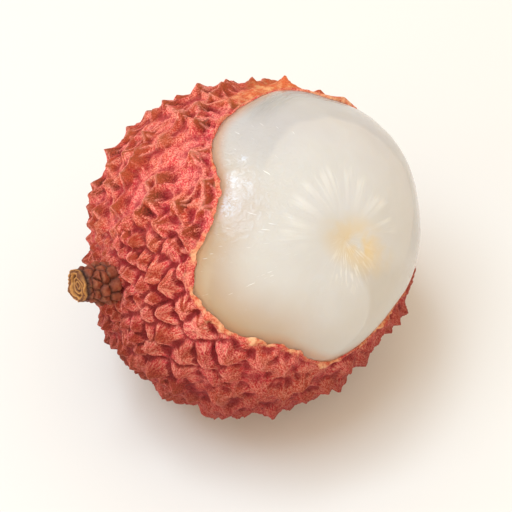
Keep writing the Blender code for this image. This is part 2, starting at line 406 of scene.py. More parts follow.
# The navel's yellow is an oval that lies aslant, and the pale flakes lie beside it.
aslant = add_node(
    flesh_look, "Mapping", {"Vector": on_flesh["flat"], "Rotation": (0, 0, 0.35), "Location": (-0.12, 0, 0)}
)
from_yellow = add_node(flesh_look, "VectorMath", {0: aslant, 1: (6.5, 11.0, 0.0)}, operation="MULTIPLY")
from_yellow = add_node(flesh_look, "VectorMath", {0: from_yellow}, "Value", operation="LENGTH")
from_flakes = {0: on_flesh["flat"], 1: (0.05, -0.14, 0.0)}
from_flakes = add_node(flesh_look, "VectorMath", from_flakes, operation="SUBTRACT")
from_flakes = add_node(flesh_look, "VectorMath", {0: from_flakes}, "Value", operation="LENGTH")

# Next to the torn edge a warm painted shade lies on the flesh, and on the lower left the rind under it shows
# through, painted on and darkened as painted shade: millimetres from it.
at_rim = {}
for name, outer, inner in [("stain", 2.0, 0.3), ("rind under it", 8.0, -0.3)]:
    reach = {"Value": on_flesh["rim"], "From Min": outer, "From Max": inner}
    at_rim[name] = add_node(flesh_look, "MapRange", reach, interpolation_type="SMOOTHSTEP")

flesh_coats = {
    "outer ground": ("#C2BBB8", "MIX", (from_navel, 0.45, 0.90, 0, 1)),
    "clouds": ("#C8C2B8", "MIX", (flesh_noise["clouds"], 0.35, 0.65, 0, 0.35)),
    "beside the lobe": ("#BCB2A4", "MIX", (on_flesh["beside_lobe"], 0, 1, 0, 0.4)),
    "film": ("#A8A5A6", "MIX", (on_flesh["film"], 0, 1, 0, 0.4)),
    # Painted shade: the top of the flesh by the torn edge is greyer, along with its bumped creases.
    "creases": ("#8F8A86", "MIX", (on_flesh["creased"], 0, 1, 0, 0.5)),
    "petals": (
        "#EAE7E0",
        "MIX",
        (spoke_noise["petals"], 0.46, 0.58, 0, 1),
        (petal_reach, 0.50, 0.44, 0, 1),
        (from_navel, 0.16, 0.38, 0, 1),
        (above_navel, -0.3, 0.2, 0, 0.34),
    ),
    "yellow navel": (
        "#DDB762",
        "MIX",
        (flesh_noise["navel"], 0.30, 0.56, 0, 1),
        (from_yellow, 2.1, 0.4, 0, 0.56),
    ),
    "flakes": (
        "#EAE6DE",
        "MIX",
        (spoke_noise["flakes"], 0.52, 0.62, 0, 0.45),
        (from_flakes, 0.20, 0.05, 0, 1),
    ),
    # The rind showing through the flesh, painted on, with painted shade deepening it on the lower left.
    "rind under it": (
        "#B08E6A",
        "MIX",
        (at_rim["rind under it"], 0, 1, 0, 1),
        (on_flesh["seen_through"], 0, 1, 0, 1),
    ),
    # Painted shade: warm tan where the flesh meets the rind.
    "stain": ("#BC7C50", "MIX", (at_rim["stain"], 0, 1, 0, 0.7)),
    # Painted highlights: short white glint streaks along the navel's spokes, which are also bumped.
    "streaks": (
        "#F8F8F8",
        "MIX",
        (spoke_noise["streaks"], 0.69, 0.73, 0, GLINT_STREAK_SHARE),
        (on_flesh["streaked"], 0, 1, 0, 1),
    ),
    # Painted highlights: bluish-white, veined patches painted where the wet flesh glints.
    "glistening": (
        "#DCE6F8",
        "MIX",
        (glistening, 0.80, 1.50, 0, 0.36),
        (flesh_noise["veins"], 0.42, 0.58, 0, 1),
    ),
}
flesh_colour, flesh_shares = painted(flesh_look, colour("#CCC8C5"), flesh_coats)

# Creases run along the torn edge: noise of the distance from it, which changes slowly along it.
crease_place = add_node(flesh_look, "CombineXYZ", {"X": on_flesh["rim"]})
crease_place = {0: on_flesh["fan"], 1: (1.2, 1.2, 0.0), 2: crease_place}
crease_place = add_node(flesh_look, "VectorMath", crease_place, operation="MULTIPLY_ADD")
crease_noise = add_node(flesh_look, "TexNoise", {"Vector": crease_place, "Scale": 1.4, "Detail": 3.0})

# Bumps: a pattern, where it shows, how strongly it tilts the light, and its height.
flesh_bumps = {}
for pattern, ground, strength, distance in [
    (flesh_noise["swells"], on_flesh["crinkled"], 0.5, 0.22 * MM),
    (flesh_noise["wrinkles"], on_flesh["crinkled"], 0.5, 0.16 * MM),
    (flesh_shares["streaks"], 1.0, 0.5, 0.08 * MM / GLINT_STREAK_SHARE),
    (crease_noise, on_flesh["creased"], 0.5, 0.8 * MM),
    (flesh_shares["petals"], 1.0, 0.3, 0.3 * MM),
    (flesh_shares["flakes"], 1.0, 0.5, 0.1 * MM),
]:
    height = add_node(flesh_look, "Math", {0: pattern, 1: ground}, operation="MULTIPLY")
    layer = {"Height": height, "Strength": strength, "Distance": distance, **flesh_bumps}
    flesh_bumps = {"Normal": add_node(flesh_look, "Bump", layer)}
shader = add_node(
    flesh_look,
    "BsdfPrincipled",
    {
        "Base Color": flesh_colour,
        "Roughness": 0.10,
        "IOR": 1.45,
        "Subsurface Weight": 1.0,
        "Subsurface Radius": (1.0, 0.85, 0.7),
        "Subsurface Scale": 6.0 * MM,
        **flesh_bumps,
    },
)
add_node(flesh_look, "OutputMaterial", {"Surface": shader})
flesh.data.materials.append(flesh_look)

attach(flesh, "root")
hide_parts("flesh")


# ---------------------------------------- rind
# The pericarp: a thin leathery shell, covered with pyramid-shaped tubercles that meet in sharp valleys.
# It has been torn by hand, so its edge is ragged, and shows the pale fibrous layer under the red skin.

TUBERCLE_SPACING = 3.05 * MM  # from tip to tip
TUBERCLE_HEIGHT = 1.35 * MM  # of a middling one above the valleys' floor
STALK_CROWDING = 0.45  # the spacing next to the stalk, as a share of the usual one
GOLDEN_ANGLE = math.pi * (3 - math.sqrt(5))
ROPE_SAG = 0.5  # how far a ridge sags between two tips, as a share of their height
SKIN_SLOPE = 1.0  # how steeply the skin falls away on both sides of a ridge
SCALE_HEIGHT = 1.3  # of a rounded lump, as a share of a pointed tubercle's
MOST_SCALY = 0.7  # how far the tubercles turn into rounded lumps, like scales, on the scaly side
SCALY_SIDE = (-0.50, -0.78, 0.38)  # towards the viewer and the stalk
FOLDED_SIDE = (0.45, -0.85, -0.25)  # the side with lower tips, from which pale ridges spread
DRIED_AND_SHADED_SIDE = (-0.75, 0.25, 0.60)  # the side where the tubercles' flanks are dried brown, and darker still with painted shade
THIN_SIDE = (0.10, 0.62, 0.78)  # the side where the torn rind is so thin that light comes through
LIP_SIDE = (-0.35, -0.85, 0.40)  # the side where the torn lip is wide
PIT_DEPTH = 0.35 * MM  # of the hollow beside each tip
PIT_SIZE = 0.65 * MM
PIT_PLACE = 0.75 * MM  # how far it is from the tip, towards the opening
VALLEY_DEPTH = 0.2 * MM  # the valleys' floor lies under VALLEY_RADIUS by this
TUBERCLE_LEAN = 0.5 * MM  # the tips lean away from the opening by this
EDGE_THINNING = 0.15 * MM  # the rind thins to its torn edge by this
FIBRE_HEIGHT = 0.04 * MM
SCALE_FIBRE_HEIGHT = 0.08 * MM  # the fibres on a rounded lump are higher by this
WAVE_HEIGHT = 0.16 * MM  # of the rind's soft unevenness
FOLD_HEIGHT = 0.12 * MM
FINE_FOLD_HEIGHT = 0.08 * MM
SPOKE_SHIFT = 7.7  # moves each tubercle's fibres to a place of their own in the noise
FLAP_TURN = math.radians(73)  # a thin flap of rind reaches over the flesh here, round the opening's axis
FLAP_WIDTH = math.radians(15)
FLAP_REACH = math.radians(4.5)
EDGE_RAGGEDNESS = math.radians(1.5)
TEETH = [((0.18, 0.674, 0.716), 1.5 * MM), ((0.52, 0.575, 0.63), 0.7 * MM)]  # direction and height
TOOTH_WIDTH = 0.045  # the angle over which a tooth falls to about a third of its height
REST_SHOULDER = 0.12 * MM  # how softly the rind meets the table
FLESH_CLEARANCE = 0.15 * MM  # the rind's outside stands past the flesh by this at least
SNUG_REACH = 1.5 * MM  # the depth over which the inner wall comes down onto the flesh
LIP_PRESS = 0.04 * MM  # the lip presses into the flesh by this, so no gap shows

stalk_low, stalk_high = (np.array(corner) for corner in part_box("stalk_stub"))
stalk_axes = axes_about((stalk_low + stalk_high) / 2 - fruit_middle)


def spacing_at(angle):
    """The tubercles' spacing, which is closer near the stalk and grows smoothly with the angle from it."""
    growth = smooth_step(math.radians(6), math.radians(40), angle)
    return TUBERCLE_SPACING * (STALK_CROWDING + (1 - STALK_CROWDING) * growth)


def tubercle_spots(randoms):
    """A golden-angle spiral of directions from the stalk round the fruit, each of which strays a little, and
    their spacing. The number within an angle is that cap's area in hexagons of the local spacing."""
    angle = np.linspace(0, math.pi, 2000)
    hexagon = math.sqrt(0.75) * (spacing_at(angle) / VALLEY_RADIUS) ** 2
    within = np.cumsum(math.tau * np.sin(angle) / hexagon) * (angle[1] - angle[0])
    index = np.arange(int(within[-1]))
    spot_angle = np.interp(index + 0.5, within, angle)
    even = directions_about(stalk_axes, spot_angle, index * GOLDEN_ANGLE)
    spacing = spacing_at(spot_angle)
    stray = randoms.normal(0, 0.16, even.shape) * (spacing / VALLEY_RADIUS)[:, None]
    return unit(even + stray), spacing


def nearest(points, spots, count):
    """The numbers of the nearest spots to each point, found a few thousand points at a time."""
    found = []
    for part in np.array_split(points, max(1, len(points) // 4000)):
        closeness = part @ spots.T - (spots**2).sum(axis=1) / 2
        best = np.argpartition(-closeness, count, axis=1)[:, :count]
        order = np.argsort(-np.take_along_axis(closeness, best, axis=1), axis=1)
        found.append(np.take_along_axis(best, order, axis=1))
    return np.concatenate(found)


def tubercle_field(points, spots, tips, neighbours):
    """For each point: its tubercle, how far it is from the tip (0) to the valley (1), and its offset
    from the tip.

    Between two spots runs a valley plane, halfway. The share of the way from the tip to each of the
    neighbours' planes is taken, and the greatest share wins, which makes one flat flank for each
    neighbour. The greatest is taken softly, as log(Σ e^(k·share)) / k, so that the ridges between the
    flanks are slightly round."""
    own = nearest(points, spots, 1)[:, 0]
    offset = points - tips[own]
    towards = spots[neighbours[own]] - spots[own][:, None]
    middle = (spots[neighbours[own]] + spots[own][:, None]) / 2 - tips[own][:, None]
    share = np.einsum("vk,vnk->vn", offset, towards) / np.einsum("vnk,vnk->vn", middle, towards)
    softness = 30.0
    way = np.log(np.exp(softness * share).sum(axis=1)) / softness
    return own, np.clip(way, 0, 1), offset


def rope_field(points, tips, sizes, spacing):
    """For each point: the height of a skin hung over ropes from tip to tip, how far the nearest rope is
    in millimetres, and the way that the skin falls there.

    Two tips of height a and b have a rope between them that sags: its height is a(1 - t) + bt - 4st(1 -
    t), t being the share of the way and s the sag, which grows with the square of the rope's length.
    The skin falls away from each rope on both sides at an even slope, and where the skins of several
    ropes meet, the highest one shows."""
    near = nearest(points, tips, 5)
    best = np.full(len(points), -9.0)
    beside = np.full(len(points), 9.0)
    fall = np.zeros_like(points)
    for first, second in ((a, b) for b in range(5) for a in range(b)):
        start, end = tips[near[:, first]], tips[near[:, second]]
        span = end - start
        square = (span**2).sum(axis=1)
        share = np.clip(((points - start) * span).sum(axis=1) / square, 0, 1)
        across = points - start - share[:, None] * span
        away = np.linalg.norm(across, axis=1) * VALLEY_RADIUS
        sag = ROPE_SAG * square * (VALLEY_RADIUS / spacing[near[:, first]]) ** 2
        rope = sizes[near[:, first]] * (1 - share) + sizes[near[:, second]] * share
        height = rope - 4 * sag * share * (1 - share) - SKIN_SLOPE * away / TUBERCLE_HEIGHT
        beside = np.where(height > best, away / MM, beside)
        fall = np.where((height > best)[:, None], across, fall)
        best = np.maximum(best, height)
    return best, beside, unit(fall + 1e-9)


randoms = np.random.default_rng(12)
spots, spot_spacing = tubercle_spots(randoms)
neighbours = nearest(spots, spots, 11)[:, 1:]
tip_stray = randoms.normal(0, 0.10, spots.shape)
tips = unit(spots + tip_stray * (spot_spacing / VALLEY_RADIUS)[:, None])
tip_size = randoms.uniform(0.5, 1.15, len(spots)) * spot_spacing / TUBERCLE_SPACING
tip_shade = randoms.uniform(0, 1, len(spots))


def rind_zones(directions, rim_distance):
    """How scaly, folded and thin the rind is in each direction, and how far it is dried and darkened with
    painted shade, as shares up to 1. It is thin only within some 4 mm of the torn edge, by the rim distance
    in millimetres."""
    folded = on_side(directions, FOLDED_SIDE, 0.75, 0.95)
    scaly = np.maximum(MOST_SCALY * on_side(directions, SCALY_SIDE, 0.80, 0.95), 0.1 * folded)
    thin = on_side(directions, THIN_SIDE, 0.86, 0.99) * smooth_step(4.0, 1.5, rim_distance)
    dried_and_shaded = 0.15 + 0.85 * on_side(directions, DRIED_AND_SHADED_SIDE, -0.35, 0.35)
    return scaly, folded, thin, dried_and_shaded


def folds(directions, cell, seed):
    """Sharp crests where noise of that cell is zero, and rounded hollows between them: 1 - 3|noise|."""
    return 1 - 3 * np.abs(lattice_noise(directions, cell, seed))


def outer_skin(directions, rim_distance):
    """Points of the outside, their radii, and values for its look.

    The radius is the body's, less the valleys' depth, plus the tubercles and the wrinkles, and never less
    than the flesh's. Where tubercles are pointed, their height is that of a skin hung over ropes from tip
    to tip, with a floor that is higher on the folded side. Where they are scaly, it is 1.3a(1 - s²), a
    being the tip's size and s the share of the way from it to the valley, with fibres that spread from it.
    Each leans away from the opening in step with its height, and is lower where the rind is thin or torn.
    A pit e^(-(distance/size)²) lies beside each big tip, and a tooth stands up as e^(-angle/width)."""
    warp = np.stack([layered_noise(directions, 0.11, seed, 2) for seed in (20, 23, 26)], axis=-1)
    bent = unit(directions + 0.020 * warp)
    own, way, offset = tubercle_field(bent, spots, tips, neighbours)
    hung, beside, fall = rope_field(bent, tips, tip_size, spot_spacing)
    scaly, folded, thin, dried_and_shaded = rind_zones(directions, rim_distance)

    pointed = np.maximum(hung, -0.1 + 0.2 * folded)
    height = (1 - scaly) * pointed + SCALE_HEIGHT * scaly * tip_size[own] * (1 - way**2)
    height *= (0.5 + 0.5 * smooth_step(0, 1.5, rim_distance)) * (1 - 0.5 * thin) * (1 - 0.1 * folded)
    radius = body_radius(directions) - VALLEY_DEPTH + TUBERCLE_HEIGHT * height
    radius -= EDGE_THINNING * (1 - smooth_step(0, 1.3, rim_distance))

    spoke = unit(offset) + SPOKE_SHIFT * own[:, None]
    on_flank = smooth_step(0.1, 0.4, way) * smooth_step(1.0, 0.8, way)
    radius += (FIBRE_HEIGHT + SCALE_FIBRE_HEIGHT * scaly) * lattice_noise(spoke, 0.22, 33) * on_flank
    radius += WAVE_HEIGHT * layered_noise(directions, 0.4, 60, 2)
    radius += FOLD_HEIGHT * folds(directions + 0.012 * warp, 0.10, 70) * (1 - thin)
    radius += FINE_FOLD_HEIGHT * folds(directions, 0.05, 75)

    lean = (directions @ opening_axes[2])[:, None] * directions - opening_axes[2]
    lean_way = unit(lean + 1e-9)
    from_pit = np.linalg.norm(offset * VALLEY_RADIUS + lean_way * PIT_PLACE, axis=1) / PIT_SIZE
    pit = np.exp(-(from_pit**2)) * smooth_step(0.65, 1.0, tip_size[own]) * (1 - scaly)
    radius -= PIT_DEPTH * pit * dried_and_shaded
    radius = np.maximum(radius, flesh_radius(directions) + FLESH_CLEARANCE)
    for tooth, tooth_height in TEETH:
        from_tooth = np.arccos(np.clip(directions @ unit(tooth), -1, 1))
        radius += tooth_height * np.exp(-from_tooth / TOOTH_WIDTH)

    points = fruit_middle + directions * radius[:, None]
    points = points + lean * (TUBERCLE_LEAN * height * (1 + 0.7 * scaly))[:, None]

    # Tip: 1 at the tip, 0 halfway to the next. Ridge: 1 on a rope. Facing: above 0 on the flanks that face
    # the opening, below 0 on those that face away. Shade: a number of each tubercle's own.
    values = {
        "tip": 1 - 2 * np.linalg.norm(offset, axis=1) * VALLEY_RADIUS / spot_spacing[own],
        "shade": tip_shade[own],
        "ridge": smooth_step(0.16, 0.02, beside + scaly) * (1 + 0.6 * folded),
        "facing": -(fall * lean_way).sum(axis=1) * (1 - 0.5 * scaly) * dried_and_shaded,
        "pit": pit * dried_and_shaded,
        "scaly": scaly,
        "fibrous": np.maximum(scaly / MOST_SCALY, folded),
        "thin": thin,
        "spoke": spoke,
    }
    return points, radius, values


def blurred(grid, rounds):
    """A closed grid's values, each made the mean of itself and its four neighbours, over and over."""
    for _ in range(rounds):
        up_down = np.pad(grid, ((1, 1), (0, 0)), mode="edge")
        grid = (grid + np.roll(grid, 1, axis=1) + np.roll(grid, -1, axis=1) + up_down[:-2] + up_down[2:]) / 5
    return grid


def rest_on_table(points, press):
    """Points less than p above the table top are pressed up to it: their height is p·e^((height - p)/p)."""
    height = points[..., 2] - rest_point[2]
    pressed = np.where(height < press, press * np.exp((height - press) / press), height)
    return np.concatenate([points[..., :2], rest_point[2] + np.maximum(pressed, 0)[..., None]], axis=-1)


RIND_COLUMNS = 480
OUTER_ROWS = 186  # from the torn edge to the point opposite the opening
LIP_ROWS = 6
INNER_ROWS = 9

# The torn edge, and the inner wall's own edge, which the lip joins to it.
turn_round = math.tau * np.arange(RIND_COLUMNS) / RIND_COLUMNS
edge_ring = directions_about(opening_axes, rim_angle(turn_round), turn_round)
edge = rim_angle(turn_round) + EDGE_RAGGEDNESS * layered_noise(edge_ring, 0.16, 40, 4)
edge -= FLAP_REACH * np.exp(-(((turn_round - FLAP_TURN) / FLAP_WIDTH) ** 2))
lip_degrees = 0.7 + 1.4 * on_side(edge_ring, LIP_SIDE, 0.3, 0.9)
inner_edge = edge - np.radians(lip_degrees * (1 + 0.6 * layered_noise(edge_ring, 0.10, 50, 3)))


def rind_directions(from_edge, shares):
    """A ring of directions for each share of the way from an edge to the point opposite the opening,
    and their polar angles."""
    polar = from_edge[None, :] + (math.pi - from_edge)[None, :] * shares[:, None]
    turn = np.repeat(turn_round[None, :], len(shares), axis=0)
    return directions_about(opening_axes, polar, turn).reshape(-1, 3), polar


opposite = -opening_axes[2:]
outer_share = np.arange(OUTER_ROWS) / OUTER_ROWS
outer_share = outer_share * (0.72 + 0.28 * outer_share)  # the rows crowd together at the torn edge
outer_directions, outer_polar = rind_directions(edge, outer_share)
outer_directions = np.append(outer_directions, opposite, axis=0)
rim_distance = np.append(((outer_polar - edge[None, :]) * VALLEY_RADIUS / MM).ravel(), 30.0)  # millimetres
outer_points, radius, rind_values = outer_skin(outer_directions, rim_distance)
outer_points = rest_on_table(outer_points, REST_SHOULDER)
outer_rings = outer_points[:-1].reshape(OUTER_ROWS, RIND_COLUMNS, 3)

# The inner wall lies one wall's thickness in, and comes down onto the flesh at the torn edge.
inner_share = (np.arange(INNER_ROWS - 1, -1, -1) / INNER_ROWS) ** 2
inner_directions = np.append(opposite, rind_directions(inner_edge, inner_share)[0], axis=0)
inner_depth = -angle_inside_rim(inner_directions) * VALLEY_RADIUS
snug = np.exp(-np.maximum(inner_depth, 0) / SNUG_REACH)
wall = (body_radius(inner_directions) - RIND_WALL) * (1 - snug)
wall += (flesh_radius(inner_directions) - LIP_PRESS) * snug
inner_points = fruit_middle + inner_directions * wall[:, None]
inner_rings = inner_points[1:].reshape(INNER_ROWS, RIND_COLUMNS, 3)

# The torn lip bulges between the two, and is lumpy with shreds.
lip_share = (np.arange(1, LIP_ROWS) / LIP_ROWS)[:, None, None]
lip_rings = inner_rings[-1] * (1 - lip_share) + outer_rings[0] * lip_share
lip_out = unit(lip_rings - fruit_middle)
lumps = 0.06 + 0.16 * layered_noise(lip_out, 0.03, 80, 3)
lip_rings = lip_rings + lip_out * MM * (lumps * np.sin(math.pi * lip_share[..., 0]))[..., None]


def on_all_points(outside):
    """A value for every point of the rind: 0 inside and on the lip, and the outside's own."""
    unseen = np.zeros(((INNER_ROWS + LIP_ROWS - 1) * RIND_COLUMNS, *outside.shape[1:]))
    return np.concatenate([unseen, outside[:-1], 0 * outside[:1], outside[-1:]])


# Crest: how far a point stands above the ground near it, in tenths of a millimetre. Hollow: how far it
# lies below the ground further round it, in fifths. Rim: millimetres from the torn edge, negative on
# the lip and inside.
radius_grid = radius[:-1].reshape(OUTER_ROWS, RIND_COLUMNS)
crest = (blurred(radius_grid, 1) - blurred(radius_grid, 12)) / (0.1 * MM)
hollow = (blurred(radius_grid, 40) - blurred(radius_grid, 2)) / (0.2 * MM)
rind_values["crest"] = np.append(crest.ravel(), 0.0)
rind_values["hollow"] = np.append(hollow.ravel(), 0.0)
rind_values = {key: on_all_points(value) for key, value in rind_values.items()}
lip_distance = np.repeat(np.append(np.full(INNER_ROWS, -1.0), -0.6 * (1 - lip_share.ravel())), RIND_COLUMNS)
rind_values["rim"] = np.concatenate([lip_distance, rim_distance[:-1], [-1.0], rim_distance[-1:]])
rind_rings = np.concatenate([inner_rings, lip_rings, outer_rings])
rind = closed_skin("lychee_rind", rind_rings, inner_points[0], outer_points[-1], rind_values)

# Dry leather: a matt, grainy skin of red and orange with pale ridges, brown flanks, crimson hollows,
# and a pale, fibrous torn edge. Painted light and shade deepen its relief: lit and shaded flanks, shaded
# hollows, pits and creases, a darker underside, and light through the thin rind.
rind_look, place, on_rind = skin_material("lychee pericarp, leathery", rind_values)

# Noise on the whole: its lumps to a millimetre, detail and roughness.
rind_noise = {}
for name, lumps_to_mm, detail, roughness in [
    ("grains", 6.5, 2.0, 0.60),
    ("mottle", 1.5, 4.0, 0.65),
    ("patches", 0.26, 4.0, 0.60),
    ("stretches", 0.52, 3.0, 0.50),
]:
    noise = {"Vector": place, "Scale": lumps_to_mm / MM, "Detail": detail, "Roughness": roughness}
    rind_noise[name] = add_node(rind_look, "TexNoise", noise)
grains, mottle, patches, stretches = rind_noise.values()

# Fibres spread from each tip: noise of the spokes, which changes along them only slowly.
along = add_node(rind_look, "VectorMath", {0: place, 1: [1.3 / MM] * 3}, operation="MULTIPLY")
along = {0: on_rind["spoke"], 1: (11.0, 11.0, 11.0), 2: along}
along = add_node(rind_look, "VectorMath", along, operation="MULTIPLY_ADD")
fibres = add_node(rind_look, "TexNoise", {"Vector": along, "Scale": 1.0, "Detail": 2.0})

level = add_node(rind_look, "SeparateXYZ", {"Vector": place}, "Z")  # metres above the table
raggedness = {"Value": mottle, "From Min": 0.35, "From Max": 0.65, "To Min": -0.25, "To Max": 0.2}
raggedness = add_node(rind_look, "MapRange", raggedness)
ragged_rim = add_node(rind_look, "Math", {0: on_rind["rim"], 1: raggedness}, operation="SUBTRACT")
# Painted light: the thin rind's mottled orange, as light comes through it.
light_through = {"mottle": ("#E8A970", "MIX", (mottle, 0.45, 0.65, 0, 1))}
light_through_colour, _ = painted(rind_look, colour("#D2622C"), light_through)
shreds = {"shreds": ("#F4BC8E", "MIX", (mottle, 0.35, 0.65, 0, 1), (level, 0.031, 0.023, 0.75, 1))}
torn_colour, _ = painted(rind_look, colour("#CC542E"), shreds)

# Ramps that several coats share, and the coats.
where_fibrous = (on_rind["fibrous"], 0, 1, 0.25, 1)
between_grains = (grains, 0.42, 0.60, 1, 0.2)
rind_coats = {
    "orange patches": ("#DA563A", "MIX", (patches, 0.40, 0.60, 0, 1)),
    "pale mottle": ("#EE7C6C", "MIX", (mottle, 0.46, 0.66, 0, 0.5)),
    # Painted light: the flanks that face away from the opening are paler, as if lit.
    "flanks facing away": ("#F09286", "MIX", (on_rind["facing"], 0, -0.7, 0, 0.4)),
    "pale grains": ("#FCA48C", "MIX", (grains, 0.50, 0.59, 0, 0.75)),
    "dark grains": ("#AC1A18", "MIX", (grains, 0.48, 0.38, 0, 0.6)),
    "pale fibres": ("#F6B498", "MIX", (fibres, 0.51, 0.62, 0, 0.6), where_fibrous),
    "furrows": ("#B4202A", "MIX", (fibres, 0.46, 0.36, 0, 0.5), where_fibrous),
    # Crimson in the hollows: partly the skin's own colour, partly painted shade by depth.
    "hollows": ("#C42C44", "MIX", (on_rind["hollow"], 0, 1.2, 0, 0.65)),
    # Dried brown flanks facing the opening, darkened further as painted shade.
    "dried flanks facing the opening": (
        "#B87858",
        "MULTIPLY",
        (on_rind["facing"], -0.1, 0.6, 0, 1),
        (on_rind["tip"], -0.4, 0.4, 0, 1),
        (on_rind["shade"], -0.3, 0.4, 0, 0.95),
    ),
    # Painted shade in the pit beside each tip, over a brownish colour of its own.
    "pits": ("#A86848", "MULTIPLY", (on_rind["pit"], 0.1, 0.7, 0, 1), between_grains),
    # Painted shade in the creases of the scaly lumps.
    "creases": (
        "#A03840",
        "MULTIPLY",
        (on_rind["crest"], -0.2, -1.0, 0, 1),
        (on_rind["scaly"], 0, MOST_SCALY, 0.45, 0.8),
    ),
    "ochre tips": (
        "#A85E28",
        "MIX",
        (on_rind["tip"], 0.3, 0.9, 0, 1),
        (on_rind["facing"], -0.2, 0.4, 0, 0.55),
        between_grains,
        (on_rind["scaly"], 0, MOST_SCALY, 1, 0.3),
    ),
    "pale ridges": ("#F0A08C", "MIX", (on_rind["ridge"], 0, 1.6, 0, 0.64)),
    # Painted shade: the rind darkens towards the table.
    "dark below": ("#AC8688", "MULTIPLY", (level, 0.026, 0.012, 0, 0.8)),
    "thin rind": (light_through_colour, "MIX", (on_rind["thin"], 0, 1, 0, 0.85)),
    "torn edge": (torn_colour, "MIX", (ragged_rim, 0.12, -0.2, 0, 1), (stretches, 0.42, 0.58, 0.2, 1)),
}
rind_colour, _ = painted(rind_look, colour("#DE3848"), rind_coats)

# Bumps: a pattern, how strongly it tilts the light, and its height.
rind_bumps = {}
for pattern, strength, distance in (grains, 1.0, 0.12 * MM), (mottle, 1.0, 0.3 * MM), (fibres, 0.6, 0.1 * MM):
    layer = {"Height": pattern, "Strength": strength, "Distance": distance, **rind_bumps}
    rind_bumps = {"Normal": add_node(rind_look, "Bump", layer)}
shader = add_node(
    rind_look,
    "BsdfPrincipled",
    {"Base Color": rind_colour, "Roughness": 0.75, "IOR": 1.45, "Specular IOR Level": 0.3, **rind_bumps},
)
add_node(rind_look, "OutputMaterial", {"Surface": shader})
rind.data.materials.append(rind_look)

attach(rind, "root")
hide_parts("rind")


# ---------------------------------------- stalk stub
# What is left of the fruit stalk: a dry woody plug. Its broken end shows growth rings and a paler bark
# edge, and its neck is a cluster of small brown knobs where the flower once sat.

STALK_RADIUS = 1.65 * MM
STALK_ROWS = 150  # from the middle of the broken end to the middle of the foot
STALK_COLUMNS = 220
STALK_SINK = 0.15 * MM  # the foot is sunk into the rind's body by this
STALK_RISE = 0.2 * MM  # the broken end stands past the CAD's by this
KNOB_SPACING = 1.0 * MM
KNOB_HEIGHT = 0.55 * MM
KNOB_ROW_STEP = 0.85 * MM
VALLEY_BETWEEN_KNOBS = 0.15 * MM
BARK_ROUGHNESS = 0.12 * MM
RING_SPACING = 0.42 * MM
RING_HEIGHT = 0.12 * MM
END_ROUGHNESS = 0.22 * MM
UPTURN = 0.5 * MM  # the broken end bends upwards by this

stalk_foot = body_radius(stalk_axes[2:])[0] - STALK_SINK  # from the middle of the fruit
stalk_middle = ((stalk_high + stalk_low) / 2 - fruit_middle) @ stalk_axes[2]
stalk_top = stalk_middle * 2 - stalk_foot + STALK_RISE

# Radius and height in millimetres, from the middle of the broken end, over the bark edge, to the foot.
BROKEN_END = [(0.0, -0.45), (0.75, -0.35), (1.15, -0.40), (1.30, -0.10), (1.46, 0.0), (1.62, -0.15)]
NECK = [(1.66, -0.50), (1.58, -0.95), (1.70, -1.5), (1.92, -2.6), (2.05, -3.95)]
STALK_PROFILE = np.array(BROKEN_END + NECK) * MM


def along_line(line, share):
    """Points a share of the way along a line of points, counted by length."""
    lengths = np.append(0, np.cumsum(np.linalg.norm(np.diff(line, axis=0), axis=1)))
    return np.stack([np.interp(share * lengths[-1], lengths, line[:, k]) for k in range(2)], axis=-1)


def knob_places(randoms):
    """The knobs' middles, on a cylinder: rows of evenly turned ones, every other row turned by half a
    step, and each knob strays a little."""
    levels = -np.arange(KNOB_ROW_STEP, 4.0 * MM, KNOB_ROW_STEP)
    count = int(math.tau * STALK_RADIUS / KNOB_SPACING)
    turn = (np.arange(count)[None, :] + 0.5 * (np.arange(len(levels)) % 2)[:, None]) / count * math.tau
    turn = (turn + randoms.normal(0, 0.16, turn.shape)).ravel()
    level = np.repeat(levels, count) + randoms.normal(0, 0.18 * MM, turn.shape)
    return np.stack([STALK_RADIUS * np.cos(turn), STALK_RADIUS * np.sin(turn), level], axis=-1)


def stalk_skin(upright, knob_spots, knob_size):
    """Points of the stalk stub, upright, and values for its look. On its side stand domes √(1 - s²), s
    being the share of the way from a knob's middle to the valley round it. On its broken end run growth
    rings, a cosine of the distance from the middle, which noise bends."""
    radial = np.hypot(upright[:, 0], upright[:, 1])
    on_bark = smooth_step(-0.65 * MM, -1.2 * MM, upright[:, 2]) * smooth_step(1.2 * MM, 1.6 * MM, radial)
    on_cylinder = np.stack([*(STALK_RADIUS * unit(upright[:, :2] + 1e-9).T), upright[:, 2]], axis=-1)
    bend = np.stack([layered_noise(on_cylinder, 0.8 * MM, seed, 2) for seed in (1, 4, 7)], axis=-1)
    knob_neighbours = nearest(knob_spots, knob_spots, 9)[:, 1:]
    knob, way, _ = tubercle_field(on_cylinder + 0.1 * MM * bend, knob_spots, knob_spots, knob_neighbours)
    dome = np.sqrt(np.clip(1 - way**2, 0, 1))
    outward = unit(np.concatenate([upright[:, :2], 0 * upright[:, :1]], axis=1) + 1e-9)
    knob_rise = on_bark * (KNOB_HEIGHT * knob_size[knob] * dome - VALLEY_BETWEEN_KNOBS)
    points = upright + outward * knob_rise[:, None]
    bark_rise = BARK_ROUGHNESS * layered_noise(points, 0.7 * MM, 90, 3)
    points = points + outward * (bark_rise * smooth_step(0.8 * MM, 1.6 * MM, radial))[:, None]
    on_end = smooth_step(-0.6 * MM, -0.3 * MM, points[:, 2])
    growth = np.cos(radial / RING_SPACING * math.tau + 1.5 * lattice_noise(points, 1.2 * MM, 95))
    points[:, 2] += on_end * (RING_HEIGHT * growth + END_ROUGHNESS * layered_noise(points, 0.9 * MM, 97, 3))
    return points, {"knob": on_bark * dome, "end": on_end, "growth": growth}


def on_fruit(points):
    """From upright coordinates, with the broken end's edge at height 0, to the stalk's place on the
    fruit, where it bends upwards a little."""
    upturn = UPTURN * smooth_step(-3.5 * MM, 0.0, points[..., 2])
    return fruit_middle + points @ stalk_axes + stalk_axes[2] * stalk_top + upturn[..., None] * (0, 0, 1)


